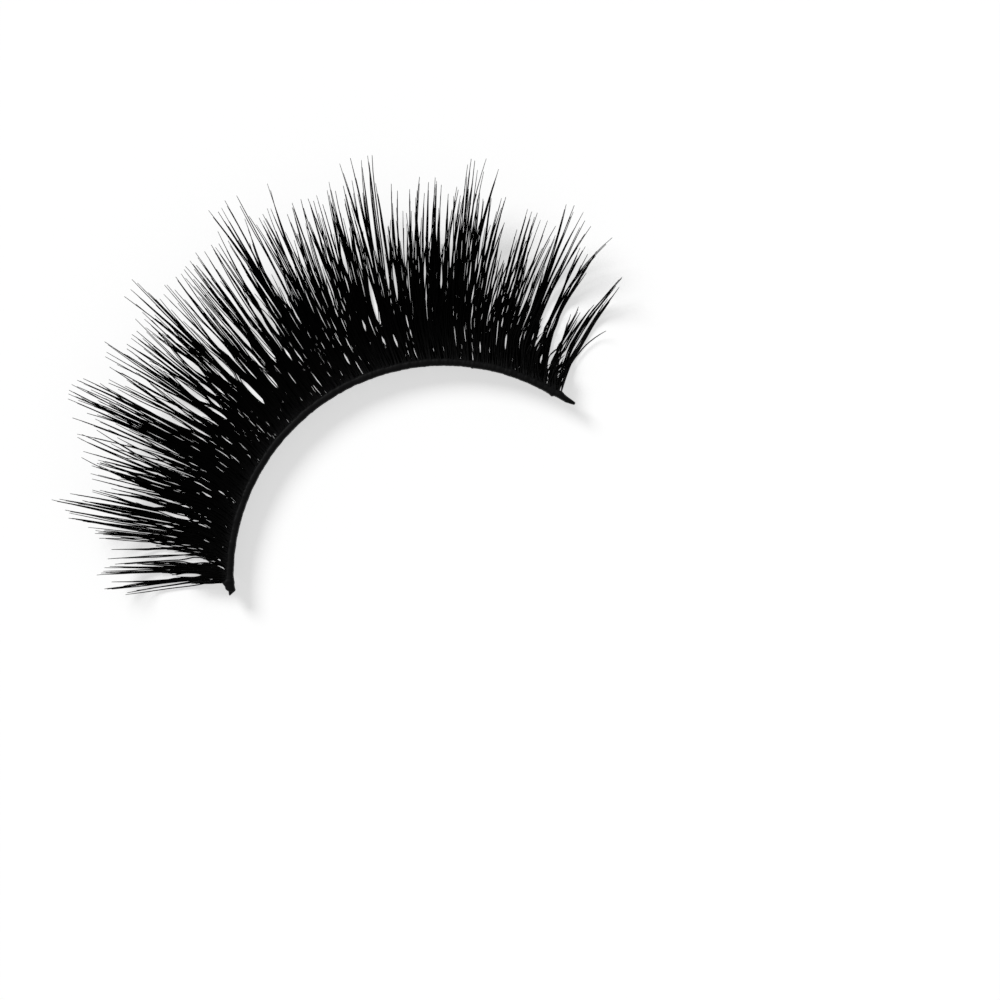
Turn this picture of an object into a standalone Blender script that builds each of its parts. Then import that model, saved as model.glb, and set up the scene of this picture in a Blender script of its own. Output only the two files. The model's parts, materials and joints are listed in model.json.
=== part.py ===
"""False eyelash strip: a trimmed, curved band that carries two layers of lashes.

The strip lies with its curl up, on the belly of the long lashes. +X runs along the
band towards its outer corner, the lash tips point to -Y, and +Z is up.
A station is an angle in degrees along the band, from its outer end. A reach is a
distance in millimetres from the band's outer face, seen from above.
"""
import math
from collections import namedtuple

import bmesh
import bpy

MM = 0.001

# The band is an arc. Its centre is placed so that the whole strip's box is centred on the origin.
ARC_CENTRE_X = 0.199
ARC_CENTRE_Y = 17.949
FIRST_STATION_ANGLE = -24.0
BAND_INNER_RADIUS = 14.50
BAND_OUTER_RADIUS = 15.05
BAND_BOTTOM = 1.00
BAND_TOP = 1.90
BAND_CHAMFER = 0.08
BAND_STEP = 3.0

# The lashes start a hair's width off the band. Where a gap runs deep towards the band, the
# rows of the layer end at this share of the way to it.
ROOT_RADIUS = 15.15
LOCK_STEPS = 5
TIP_WIDTH = 0.10
DEEP_GAP_SHARE = 0.85
SHARP_EDGE_ANGLE = 35.0
LASH_LEAN_POWER = 1.7
LASH_TAPER_POWER = 0.7

# A trimmed end of the band: how its section changes from station to station.
BandEnd = namedtuple("BandEnd", "station inner outer height_share")
OUTER_END = (
    BandEnd(0.1, 14.82, 14.90, 0.35),
    BandEnd(0.8, 14.64, 14.98, 0.75),
    BandEnd(1.6, 14.50, 15.05, 1.00),
)
INNER_END = (
    BandEnd(125.2, 14.50, 15.05, 1.00),
    BandEnd(126.2, 14.66, 15.05, 1.00),
    BandEnd(129.6, 14.68, 15.04, 0.90),
    BandEnd(131.2, 14.80, 15.00, 0.60),
    BandEnd(132.0, 14.90, 14.97, 0.35),
)

# One layer of lashes: the height of its middle line where it leaves the band and over its
# belly, the reaches between which the belly is flat, how steeply the tips rise, and the
# layer's thickness at the root, the belly and the tips.
Layer = namedtuple(
    "Layer", "root_height belly_height belly_start belly_end curl root_thick belly_thick tip_thick"
)
LONG_LAYER = Layer(1.24, 0.17, 3.10, 4.30, 0.49, 0.40, 0.34, 0.10)
SHORT_LAYER = Layer(1.76, 1.32, 2.20, 2.60, 0.55, 0.26, 0.24, 0.08)

# Radii of the rows that run along a layer between its root and its locks.
LONG_ROWS = (15.15, 15.95, 16.95, 18.15, 19.35)
SHORT_ROWS = (15.15, 15.90, 16.80)

# The edge of a layer before its first lock or after its last one. Its root stands further
# along the band than its outer corner by root_shift.
Edge = namedtuple("Edge", "station radius root_shift")
LONG_START = Edge(3.4, 17.3, -0.4)
LONG_END = Edge(126.1, 16.9, 1.2)
SHORT_START = Edge(3.8, 17.0, -0.2)
SHORT_END = Edge(124.5, 16.8, 0.6)

# The long locks: where each one's tip lies, and the gap that parts it from the next.
Lock = namedtuple("Lock", "tip_station tip_radius gap_station gap_radius")
LONG_LOCKS = (
    Lock(2.9, 23.5, 5.0, 18.2),
    Lock(5.8, 23.9, 8.5, 16.4),
    Lock(8.8, 23.2, 11.1, 18.0),
    Lock(12.3, 24.3, 13.1, 20.8),
    Lock(13.9, 26.2, 15.4, 20.9),
    Lock(16.2, 27.4, 17.7, 18.4),
    Lock(17.7, 25.8, 18.8, 19.2),
    Lock(19.4, 24.5, 20.3, 20.8),
    Lock(22.8, 26.0, 24.1, 21.2),
    Lock(25.7, 27.0, 27.1, 20.6),
    Lock(28.1, 27.7, 28.9, 19.2),
    Lock(29.5, 26.4, 30.1, 22.0),
    Lock(31.3, 28.8, 32.6, 22.6),
    Lock(33.2, 28.6, 34.9, 20.4),
    Lock(37.0, 27.1, 38.5, 20.2),
    Lock(39.7, 28.4, 41.3, 19.6),
    Lock(43.0, 27.2, 43.9, 21.4),
    Lock(45.6, 27.6, 46.9, 20.0),
    Lock(48.3, 29.6, 49.1, 17.6),
    Lock(50.4, 27.4, 51.0, 20.9),
    Lock(52.9, 27.7, 53.3, 20.0),
    Lock(55.4, 27.9, 55.5, 20.0),
    Lock(57.5, 28.0, 57.2, 18.7),
    Lock(59.6, 27.9, 59.4, 20.3),
    Lock(60.9, 27.6, 60.7, 19.7),
    Lock(62.5, 29.9, 62.9, 23.2),
    Lock(64.7, 29.8, 64.9, 21.4),
    Lock(66.4, 29.7, 67.1, 22.0),
    Lock(68.7, 28.0, 68.9, 21.0),
    Lock(70.8, 29.4, 71.3, 20.0),
    Lock(72.8, 27.8, 73.1, 19.6),
    Lock(74.3, 27.8, 75.1, 23.4),
    Lock(76.5, 27.6, 77.2, 22.2),
    Lock(78.7, 28.3, 79.2, 20.6),
    Lock(80.8, 29.1, 80.7, 18.0),
    Lock(82.5, 29.4, 83.1, 21.0),
    Lock(84.8, 29.4, 85.2, 19.6),
    Lock(87.7, 27.1, 88.3, 20.8),
    Lock(91.4, 27.5, 91.2, 19.6),
    Lock(93.8, 27.4, 94.4, 20.0),
    Lock(96.8, 26.9, 97.2, 20.4),
    Lock(98.8, 28.7, 99.1, 20.8),
    Lock(101.0, 28.9, 101.1, 21.8),
    Lock(103.9, 26.9, 104.2, 20.8),
    Lock(105.3, 22.7, 105.8, 19.4),
    Lock(108.5, 25.8, 109.7, 20.4),
    Lock(111.2, 25.5, 111.8, 19.6),
    Lock(114.1, 27.0, 115.1, 18.4),
    Lock(116.9, 26.2, 116.7, 17.3),
    Lock(121.2, 26.0, 120.9, 16.5),
    Lock(121.7, 20.8, 122.4, 17.7),
    Lock(125.7, 24.0, LONG_END.station, LONG_END.radius),
)

# The short locks follow a rule: evenly spaced, longest in the middle of the band.
SHORT_COUNT = 36
SHORT_GAP_RADIUS = 18.2
SHORT_TIP_RADIUS = 20.4
SHORT_MIDDLE_GAIN = 2.4
SHORT_UNEVENNESS = 0.5
SHORT_WAVE_STEP = 2.4
SHORT_LEAN = 0.016
SHORT_UPRIGHT_STATION = 45.0


def clear_scene():
    for thing in list(bpy.data.objects):
        bpy.data.objects.remove(thing, do_unlink=True)


def place(station, radius, height):
    """A point from its station, its radius from the arc's centre and its height."""
    angle = math.radians(FIRST_STATION_ANGLE - station)
    x = ARC_CENTRE_X + radius * math.cos(angle)
    y = ARC_CENTRE_Y + radius * math.sin(angle)
    return (x * MM, y * MM, height * MM)


def make_material(name, colour, roughness):
    material = bpy.data.materials.new(name)
    material.use_nodes = True
    shader = material.node_tree.nodes["Principled BSDF"]
    shader.inputs["Base Color"].default_value = (*colour, 1.0)
    shader.inputs["Roughness"].default_value = roughness
    shader.inputs["Metallic"].default_value = 0.0
    return material


def finish_object(bm, name, material):
    bmesh.ops.recalc_face_normals(bm, faces=bm.faces)
    mesh = bpy.data.meshes.new(name)
    bm.to_mesh(mesh)
    bm.free()
    mesh.materials.append(material)
    mesh.shade_smooth()
    mesh.set_sharp_from_angle(angle=math.radians(SHARP_EDGE_ANGLE))
    thing = bpy.data.objects.new(name, mesh)
    bpy.context.collection.objects.link(thing)
    return thing


def skin(bm, first, second, skip=None):
    """Joins two rings of corners by a face along each side, apart from the side to skip."""
    count = len(first)
    for side in range(count):
        if side == skip:
            continue
        after = (side + 1) % count
        bm.faces.new((first[side], first[after], second[after], second[side]))


def band_sections():
    """The band's sections from its outer end to its inner end."""
    start, stop = OUTER_END[-1].station, INNER_END[0].station
    count = round((stop - start) / BAND_STEP)
    step = (stop - start) / count
    middle = [
        BandEnd(start + step * i, BAND_INNER_RADIUS, BAND_OUTER_RADIUS, 1.0)
        for i in range(1, count)
    ]
    return list(OUTER_END) + middle + list(INNER_END)


def band_ring(bm, section):
    """A chamfered rectangle across the band, smaller where the end is trimmed."""
    height = (BAND_TOP - BAND_BOTTOM) * section.height_share
    centre = (BAND_TOP + BAND_BOTTOM) / 2
    low, high = centre - height / 2, centre + height / 2
    cut = min(BAND_CHAMFER, (section.outer - section.inner) / 4, height / 4)
    corners = (
        (section.inner + cut, low),
        (section.outer - cut, low),
        (section.outer, low + cut),
        (section.outer, high - cut),
        (section.outer - cut, high),
        (section.inner + cut, high),
        (section.inner, high - cut),
        (section.inner, low + cut),
    )
    return [bm.verts.new(place(section.station, radius, z)) for radius, z in corners]


def make_band(material):
    bm = bmesh.new()
    rings = [band_ring(bm, section) for section in band_sections()]
    for first, second in zip(rings, rings[1:]):
        skin(bm, first, second)
    bm.faces.new(rings[0])
    bm.faces.new(rings[-1])
    return finish_object(bm, "lash_band", material)


def middle_height(layer, reach, length):
    """The height of a lash's middle line: down to the belly, flat, then curling up."""
    if reach < layer.belly_start:
        left = 1.0 - reach / layer.belly_start
        return layer.belly_height + (layer.root_height - layer.belly_height) * left ** 2
    if reach < layer.belly_end:
        return layer.belly_height
    rise = (reach - layer.belly_end) ** 2 / (length - layer.belly_end)
    return layer.belly_height + layer.curl * rise


def thickness(layer, reach, length):
    if reach < layer.belly_start:
        share = reach / layer.belly_start
        return layer.root_thick + (layer.belly_thick - layer.root_thick) * share
    if reach < layer.belly_end:
        return layer.belly_thick
    share = (reach - layer.belly_end) / (length - layer.belly_end)
    return layer.belly_thick + (layer.tip_thick - layer.belly_thick) * min(share, 1.0)


def pair(bm, layer, station, radius, length):
    """The lower and the upper corner of a layer at one place."""
    reach = radius - BAND_OUTER_RADIUS
    middle = middle_height(layer, reach, length)
    half = thickness(layer, reach, length) / 2
    low = bm.verts.new(place(station, radius, middle - half))
    high = bm.verts.new(place(station, radius, middle + half))
    return low, high


def gap_ring(bm, layer, rows, station, radius, root_shift, length):
    """A ring across the layer at a gap: out along the underside and back along the top."""
    span = rows[-1] - ROOT_RADIUS
    squeeze = min(1.0, (radius - ROOT_RADIUS) / span * DEEP_GAP_SHARE)
    radii = [ROOT_RADIUS + (row - ROOT_RADIUS) * squeeze for row in rows] + [radius]
    lows, highs = [], []
    for row_radius in radii:
        share = (row_radius - ROOT_RADIUS) / (radius - ROOT_RADIUS)
        low, high = pair(bm, layer, station + root_shift * (1 - share), row_radius, length)
        lows.append(low)
        highs.append(high)
    return lows + highs[::-1]


def add_lock(bm, layer, lock, left, right, left_ring, right_ring, rows, lengths):
    """A tapering lock from the open side between two gaps out to its tip."""
    last = len(rows)
    ring = [left_ring[last], right_ring[last], right_ring[last + 1], left_ring[last + 1]]
    base_station = (left[0] + right[0]) / 2
    base_radius = (left[1] + right[1]) / 2
    length = lock.tip_radius - BAND_OUTER_RADIUS
    tip_share = TIP_WIDTH / ((right[0] - left[0]) * math.radians(1) * lock.tip_radius)
    for step in range(1, LOCK_STEPS + 1):
        along = step / LOCK_STEPS
        width = tip_share + (1 - tip_share) * (1 - along) ** LASH_TAPER_POWER
        lean = (lock.tip_station - base_station) * along ** LASH_LEAN_POWER
        out = (lock.tip_radius - base_radius) * along
        sides = []
        for corner, corner_length in ((left, lengths[0]), (right, lengths[1])):
            station = base_station + lean + (corner[0] - base_station) * width
            radius = base_radius + out + (corner[1] - base_radius) * (1 - along)
            local_length = corner_length + (length - corner_length) * along
            sides.append(pair(bm, layer, station, radius, local_length))
        section = [sides[0][0], sides[1][0], sides[1][1], sides[0][1]]
        skin(bm, ring, section)
        ring = section
    bm.faces.new(ring)


def make_layer(name, layer, rows, start, end, locks, material):
    """A bed of lashes that follows the band, with its outer edge drawn out into locks."""
    bm = bmesh.new()
    gaps = [(start.station, start.radius, start.root_shift)]
    gaps += [(lock.gap_station, lock.gap_radius, 0.0) for lock in locks[:-1]]
    gaps.append((end.station, end.radius, end.root_shift))
    reaches = [lock.tip_radius - BAND_OUTER_RADIUS for lock in locks]
    before = [reaches[0]] + reaches
    after = reaches + [reaches[-1]]
    lengths = [(a + b) / 2 for a, b in zip(before, after)]
    rings = [gap_ring(bm, layer, rows, *gap, length) for gap, length in zip(gaps, lengths)]
    for i, lock in enumerate(locks):
        skin(bm, rings[i], rings[i + 1], skip=len(rows))
        add_lock(bm, layer, lock, gaps[i], gaps[i + 1], rings[i], rings[i + 1], rows, lengths[i:i + 2])
    bm.faces.new(rings[0])
    bm.faces.new(rings[-1])
    return finish_object(bm, name, material)


def short_locks():
    """The short locks, spaced evenly, with lengths that wave a little around the rule."""
    step = (SHORT_END.station - SHORT_START.station) / SHORT_COUNT
    locks = []
    for i in range(SHORT_COUNT):
        gap_station = SHORT_START.station + step * (i + 1)
        middle = gap_station - step / 2
        share = (middle - SHORT_START.station) / (SHORT_END.station - SHORT_START.station)
        wave = math.sin(i * SHORT_WAVE_STEP)
        tip_radius = SHORT_TIP_RADIUS + SHORT_MIDDLE_GAIN * math.sin(math.pi * share)
        tip_radius += SHORT_UNEVENNESS * wave
        tip_station = middle + SHORT_LEAN * (middle - SHORT_UPRIGHT_STATION)
        gap_radius = SHORT_GAP_RADIUS + SHORT_UNEVENNESS * math.cos(i * SHORT_WAVE_STEP)
        locks.append(Lock(tip_station, tip_radius, gap_station, gap_radius))
    return locks


def main():
    clear_scene()
    hair = make_material("lash_hair", (0.006, 0.006, 0.007), 0.42)
    band = make_material("lash_band", (0.014, 0.014, 0.015), 0.55)
    make_band(band)
    make_layer("long_lashes", LONG_LAYER, LONG_ROWS, LONG_START, LONG_END, LONG_LOCKS, hair)
    make_layer("short_lashes", SHORT_LAYER, SHORT_ROWS, SHORT_START, SHORT_END, short_locks(), hair)


main()
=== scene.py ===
import json
import math

import bpy
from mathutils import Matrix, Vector


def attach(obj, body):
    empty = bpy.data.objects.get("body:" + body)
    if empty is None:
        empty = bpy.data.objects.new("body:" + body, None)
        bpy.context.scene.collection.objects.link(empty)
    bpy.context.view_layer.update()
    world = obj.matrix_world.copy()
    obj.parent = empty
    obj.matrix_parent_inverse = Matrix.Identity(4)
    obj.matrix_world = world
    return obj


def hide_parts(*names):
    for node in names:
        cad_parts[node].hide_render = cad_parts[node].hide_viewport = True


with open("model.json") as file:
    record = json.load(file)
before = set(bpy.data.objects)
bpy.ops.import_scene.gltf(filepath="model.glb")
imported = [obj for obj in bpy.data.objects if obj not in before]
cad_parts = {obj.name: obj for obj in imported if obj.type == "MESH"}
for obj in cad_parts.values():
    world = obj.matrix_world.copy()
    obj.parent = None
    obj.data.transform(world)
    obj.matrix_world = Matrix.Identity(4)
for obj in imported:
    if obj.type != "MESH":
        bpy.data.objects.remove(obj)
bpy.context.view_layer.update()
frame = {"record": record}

# Lengths are millimetres and angles degrees until the last step of each node tree.
# A station is an angle along the band from its outer end, a radius is measured from the
# middle of the band's arc. Lashes are combed out flat (x = station, y = radius) and then bent.
metresPerMm = 0.001

stripArc = {
    "innerRadius": 14.495,  # middle of the band's inner facets
    "outerRadius": 15.05,
    "firstAngle": -24.0,  # where station 0 lies, seen from above
}

glueFace = next(m for m in frame["record"]["mounts"] if m["name"] == "glue_face")
arcCentre = Vector(glueFace["pos_m"]) / metresPerMm + Vector(glueFace["axis"]) * stripArc["innerRadius"]


# Node helpers: a Field is a number inside a tree that can be used in plain sums.

def feed(tree, socket, value):
    if isinstance(value, Field):
        value = value.socket
    if isinstance(value, bpy.types.NodeSocket):
        tree.links.new(value, socket)
    else:
        socket.default_value = value


def addNode(tree, kind, inputs=None, **settings):
    node = tree.nodes.new(kind)
    for name, value in settings.items():
        setattr(node, name, value)
    for name, value in (inputs or {}).items():
        feed(tree, node.inputs[name], value)
    return node


def calc(tree, operation, *values):
    node = addNode(tree, "ShaderNodeMath", operation=operation)
    for socket, value in zip(node.inputs, values):
        feed(tree, socket, value)
    return Field(tree, node.outputs[0])


class Field:
    def __init__(self, tree, socket):
        self.tree = tree
        self.socket = socket

    def __add__(self, other):
        return calc(self.tree, "ADD", self, other)

    def __sub__(self, other):
        return calc(self.tree, "SUBTRACT", self, other)

    def __mul__(self, other):
        return calc(self.tree, "MULTIPLY", self, other)

    def __truediv__(self, other):
        return calc(self.tree, "DIVIDE", self, other)

    def __pow__(self, other):
        return calc(self.tree, "POWER", self, other)

    def __rsub__(self, other):
        return calc(self.tree, "SUBTRACT", other, self)

    __radd__ = __add__
    __rmul__ = __mul__

    def limit(self, low, high):
        return calc(self.tree, "MINIMUM", calc(self.tree, "MAXIMUM", self, low), high)


def attribute(tree, name, kind="FLOAT"):
    node = addNode(tree, "GeometryNodeInputNamedAttribute", {"Name": name}, data_type=kind)
    return Field(tree, node.outputs["Attribute"])


def store(tree, geometry, name, value):
    node = addNode(tree, "GeometryNodeStoreNamedAttribute", {
        "Geometry": geometry, "Name": name, "Value": value,
    }, domain="POINT")
    return node.outputs["Geometry"]


def randomField(tree, low, high, seed, key):
    # The key is a whole number that stays with a hair when others are added.
    node = addNode(tree, "FunctionNodeRandomValue", {"ID": key, "Seed": seed}, data_type="FLOAT")
    feed(tree, node.inputs[2], low)
    feed(tree, node.inputs[3], high)
    return Field(tree, node.outputs[1])


def joinVector(tree, x, y, z):
    return addNode(tree, "ShaderNodeCombineXYZ", {"X": x, "Y": y, "Z": z}).outputs["Vector"]


def positions(tree):
    place = addNode(tree, "GeometryNodeInputPosition").outputs["Position"]
    node = addNode(tree, "ShaderNodeSeparateXYZ", {"Vector": place})
    return [Field(tree, socket) for socket in node.outputs]


def moveTo(tree, geometry, x, y, z):
    node = addNode(tree, "GeometryNodeSetPosition", {
        "Geometry": geometry, "Position": joinVector(tree, x, y, z),
    })
    return node.outputs["Geometry"]


def alongSpline(tree):
    return Field(tree, addNode(tree, "GeometryNodeSplineParameter").outputs["Factor"])


def noise(tree, place, scale, detail=2.0):
    node = addNode(tree, "ShaderNodeTexNoise", {"Vector": place, "Scale": scale, "Detail": detail})
    return Field(tree, node.outputs["Fac"])


def newTree(name, sizes):
    # Starts a tree with one named input for each size, and hands back its inputs and its end.
    tree = bpy.data.node_groups.new(name, "GeometryNodeTree")
    tree.interface.new_socket("Geometry", in_out="INPUT", socket_type="NodeSocketGeometry")
    for size, value in sizes.items():
        kind = "NodeSocketInt" if isinstance(value, int) else "NodeSocketFloat"
        tree.interface.new_socket(size, in_out="INPUT", socket_type=kind).default_value = value
    tree.interface.new_socket("Material", in_out="INPUT", socket_type="NodeSocketMaterial")
    tree.interface.new_socket("Geometry", in_out="OUTPUT", socket_type="NodeSocketGeometry")
    start = addNode(tree, "NodeGroupInput")
    end = addNode(tree, "NodeGroupOutput")
    sized = {size: Field(tree, start.outputs[size]) for size in sizes}
    return tree, start, sized, end


def bend(tree, geometry):
    # Bends the flat strip round the arc and turns millimetres into metres.
    station, radius, height = positions(tree)
    angle = (stripArc["firstAngle"] - station) * math.radians(1)
    x = arcCentre.x + radius * calc(tree, "COSINE", angle)
    y = arcCentre.y + radius * calc(tree, "SINE", angle)
    return moveTo(tree, geometry, x * metresPerMm, y * metresPerMm, height * metresPerMm)


def finishTree(tree, mesh, start, end):
    # Every tree ends in one smooth, plain mesh with its material.
    smooth = addNode(tree, "GeometryNodeSetShadeSmooth", {"Geometry": mesh}).outputs["Geometry"]
    whole = addNode(tree, "GeometryNodeRealizeInstances", {"Geometry": smooth}).outputs["Geometry"]
    done = addNode(tree, "GeometryNodeSetMaterial", {
        "Geometry": whole, "Material": start.outputs["Material"],
    })
    feed(tree, end.inputs["Geometry"], done.outputs["Geometry"])


def applyTree(name, guide, tree, sizes, material):
    # Runs the tree on the guide mesh, keeps the result as a plain mesh and drops the guide.
    helper = bpy.data.objects.new(name + "Guide", guide)
    bpy.context.collection.objects.link(helper)
    modifier = helper.modifiers.new(name, "NODES")
    modifier.node_group = tree
    for item in tree.interface.items_tree:
        if item.in_out == "INPUT" and item.name in sizes:
            modifier[item.identifier] = sizes[item.name]
        if item.in_out == "INPUT" and item.name == "Material":
            modifier[item.identifier] = material
    evaluated = helper.evaluated_get(bpy.context.evaluated_depsgraph_get())
    mesh = bpy.data.meshes.new_from_object(evaluated)
    mesh.name = name
    bpy.data.objects.remove(helper)
    bpy.data.meshes.remove(guide)
    piece = bpy.data.objects.new(name, mesh)
    bpy.context.collection.objects.link(piece)
    print(name, "has", len(mesh.polygons), "faces")
    return piece


# Material helpers

def newMaterial(name):
    material = bpy.data.materials.new(name)
    material.use_nodes = True
    return material, material.node_tree, material.node_tree.nodes["Principled BSDF"]


def blend(tree, share, first, second):
    node = addNode(tree, "ShaderNodeMix", data_type="RGBA")
    feed(tree, node.inputs["Factor"], share)
    feed(tree, node.inputs[6], first)  # 6 and 7 are the two colours
    feed(tree, node.inputs[7], second)
    return node.outputs[2]


def addBump(tree, shader, height, finish):
    bump = addNode(tree, "ShaderNodeBump", {
        "Height": height, "Strength": finish["bumpStrength"], "Distance": finish["bumpDepth"],
    })
    feed(tree, shader.inputs["Normal"], bump.outputs["Normal"])


# Band: a thread wrapped round a core and glued, cut off at both ends

bandFinish = {
    "threadColour": (0.0044, 0.0044, 0.0047, 1),
    "glueColour": (0.0072, 0.0072, 0.0077, 1),
    "roughness": 0.55,
    "specular": 0.16,
    "patchScale": 1800.0,
    "grainScale": 14000.0,
    "bumpStrength": 0.4,
    "bumpDepth": 0.00002,
}


def makeBandMaterial():
    material, tree, shader = newMaterial("gluedThread")
    shader.inputs["Specular IOR Level"].default_value = bandFinish["specular"]
    shader.inputs["Roughness"].default_value = bandFinish["roughness"]
    place = addNode(tree, "ShaderNodeTexCoord").outputs["Object"]
    patches = noise(tree, place, bandFinish["patchScale"])
    grain = noise(tree, place, bandFinish["grainScale"])
    colour = blend(tree, patches, bandFinish["threadColour"], bandFinish["glueColour"])
    feed(tree, shader.inputs["Base Color"], colour)
    addBump(tree, shader, grain, bandFinish)
    return material


# Each row is a station, the inner and the outer radius there, and the share of the height left.
bandRows = (
    (0.0, 14.80, 14.87, 0.35), (0.3, 14.70, 14.89, 0.6), (1.05, 14.44, 14.91, 0.85),
    (1.3, 14.40, 14.99, 1.0), (1.6, 14.41, 15.08, 1.0), (2.5, 14.45, 15.15, 1.0),
    (3.2, 14.46, 15.28, 1.0), (4.2, 14.48, 15.10, 1.0), (6.4, 14.50, 15.05, 1.0),
    (102.2, 14.50, 15.05, 1.0), (102.6, 14.45, 15.05, 1.0), (103.1, 14.50, 15.05, 1.0),
    (124.6, 14.49, 15.06, 1.0), (125.8, 14.43, 15.06, 1.0), (126.3, 14.56, 15.09, 1.0),
    (127.5, 14.58, 15.12, 1.0), (128.4, 14.59, 15.06, 0.95), (129.7, 14.59, 15.04, 0.9),
    (130.9, 14.71, 15.03, 0.7), (131.7, 14.79, 15.01, 0.55), (132.1, 14.84, 14.98, 0.4),
)

bandSizes = {
    "Low": 1.00,  # underside and top above the floor
    "High": 1.90,
    "Wrap Pitch": 1.15,
    "Wrap Relief": 0.007,
    "Unevenness": 0.13,
    "Steps": 900,
    "Sides": 22,
}

bandShape = {
    "cornerPower": 0.55,  # below 1 the round section gets corners
    "swellScale": 0.42,
    "swellRound": 0.4,  # how fast the swelling changes round the section
}


def bandGuide():
    mesh = bpy.data.meshes.new("bandGuide")
    points = [(row[0], 0, 0) for row in bandRows]
    mesh.from_pydata(points, [(i, i + 1) for i in range(len(points) - 1)], [])
    for place, key in enumerate(("inner", "outer", "share"), 1):
        values = [row[place] for row in bandRows]
        mesh.attributes.new(key, "FLOAT", "POINT").data.foreach_set("value", values)
    return mesh


def rounded(tree, wave):
    return calc(tree, "SIGN", wave) * calc(tree, "ABSOLUTE", wave) ** bandShape["cornerPower"]


def buildBandTree():
    tree, start, size, end = newTree("wrappedBand", bandSizes)
    rope = addNode(tree, "GeometryNodeMeshToCurve", {"Mesh": start.outputs["Geometry"]})
    rope = addNode(tree, "GeometryNodeResampleCurve", {
        "Curve": rope.outputs["Curve"], "Count": size["Steps"],
    })
    ring = addNode(tree, "GeometryNodeCurvePrimitiveCircle", {
        "Resolution": size["Sides"], "Radius": 1.0,
    })
    ring = store(tree, ring.outputs["Curve"], "turn", alongSpline(tree))
    tube = addNode(tree, "GeometryNodeCurveToMesh", {
        "Curve": rope.outputs["Curve"], "Profile Curve": ring, "Fill Caps": True,
    }).outputs["Mesh"]

    # A rounded box section, wound with thread: a small ridge runs round it in a helix.
    station = positions(tree)[0]
    turn, share = attribute(tree, "turn"), attribute(tree, "share")
    inner, outer = attribute(tree, "inner"), attribute(tree, "outer")
    side = rounded(tree, calc(tree, "COSINE", turn * math.tau))
    top = rounded(tree, calc(tree, "SINE", turn * math.tau))
    wind = calc(tree, "SINE", (station / size["Wrap Pitch"] + turn) * math.pi)
    ridge = (calc(tree, "ABSOLUTE", wind) - 1.0) * size["Wrap Relief"] * share
    place = joinVector(tree, station, side * bandShape["swellRound"], top * bandShape["swellRound"])
    lumps = noise(tree, place, bandShape["swellScale"], 3.0)
    swell = (lumps - 0.5) * size["Unevenness"] * share
    middle = (size["Low"] + size["High"]) * 0.5
    halfHeight = (size["High"] - size["Low"]) * 0.5 * share
    radius = (inner + outer) * 0.5 + side * ((outer - inner) * 0.5 + ridge + swell)
    height = middle + top * (halfHeight + ridge + swell)
    finishTree(tree, bend(tree, moveTo(tree, tube, station, radius, height)), start, end)
    return tree


# Lashes: a long layer below and a short one over its roots, in one kind of hair

hairFinish = {
    "rootColour": (0.0008, 0.0008, 0.0008, 1),
    "tipColour": (0.0026, 0.0024, 0.0024, 1),
    "glueColour": (0.0090, 0.0090, 0.0094, 1),
    "alongShare": 0.55,  # the colour goes this far to the tip colour along the hair
    "tintShare": 0.45,  # and up to this far from one hair to another
    "roughness": (0.42, 0.60),
    "specular": 0.05,
    "streakScale": 9000.0,
    "bumpStrength": 0.25,
    "bumpDepth": 0.00001,
}


def makeHairMaterial():
    material, tree, shader = newMaterial("blackLashHair")
    along, tint, glued = [
        Field(tree, addNode(tree, "ShaderNodeAttribute", attribute_name=name).outputs["Fac"])
        for name in ("hairAlong", "hairTint", "glued")
    ]
    place = addNode(tree, "ShaderNodeTexCoord").outputs["Object"]
    streak = noise(tree, place, hairFinish["streakScale"], 3.0)
    share = (along * hairFinish["alongShare"] + tint * hairFinish["tintShare"]).limit(0.0, 1.0)
    colour = blend(tree, share, hairFinish["rootColour"], hairFinish["tipColour"])
    colour = blend(tree, glued, colour, hairFinish["glueColour"])
    feed(tree, shader.inputs["Base Color"], colour)
    shader.inputs["Specular IOR Level"].default_value = hairFinish["specular"]
    low, high = hairFinish["roughness"]
    feed(tree, shader.inputs["Roughness"], low + (high - low) * streak)
    addBump(tree, shader, streak, hairFinish)
    return material


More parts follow.
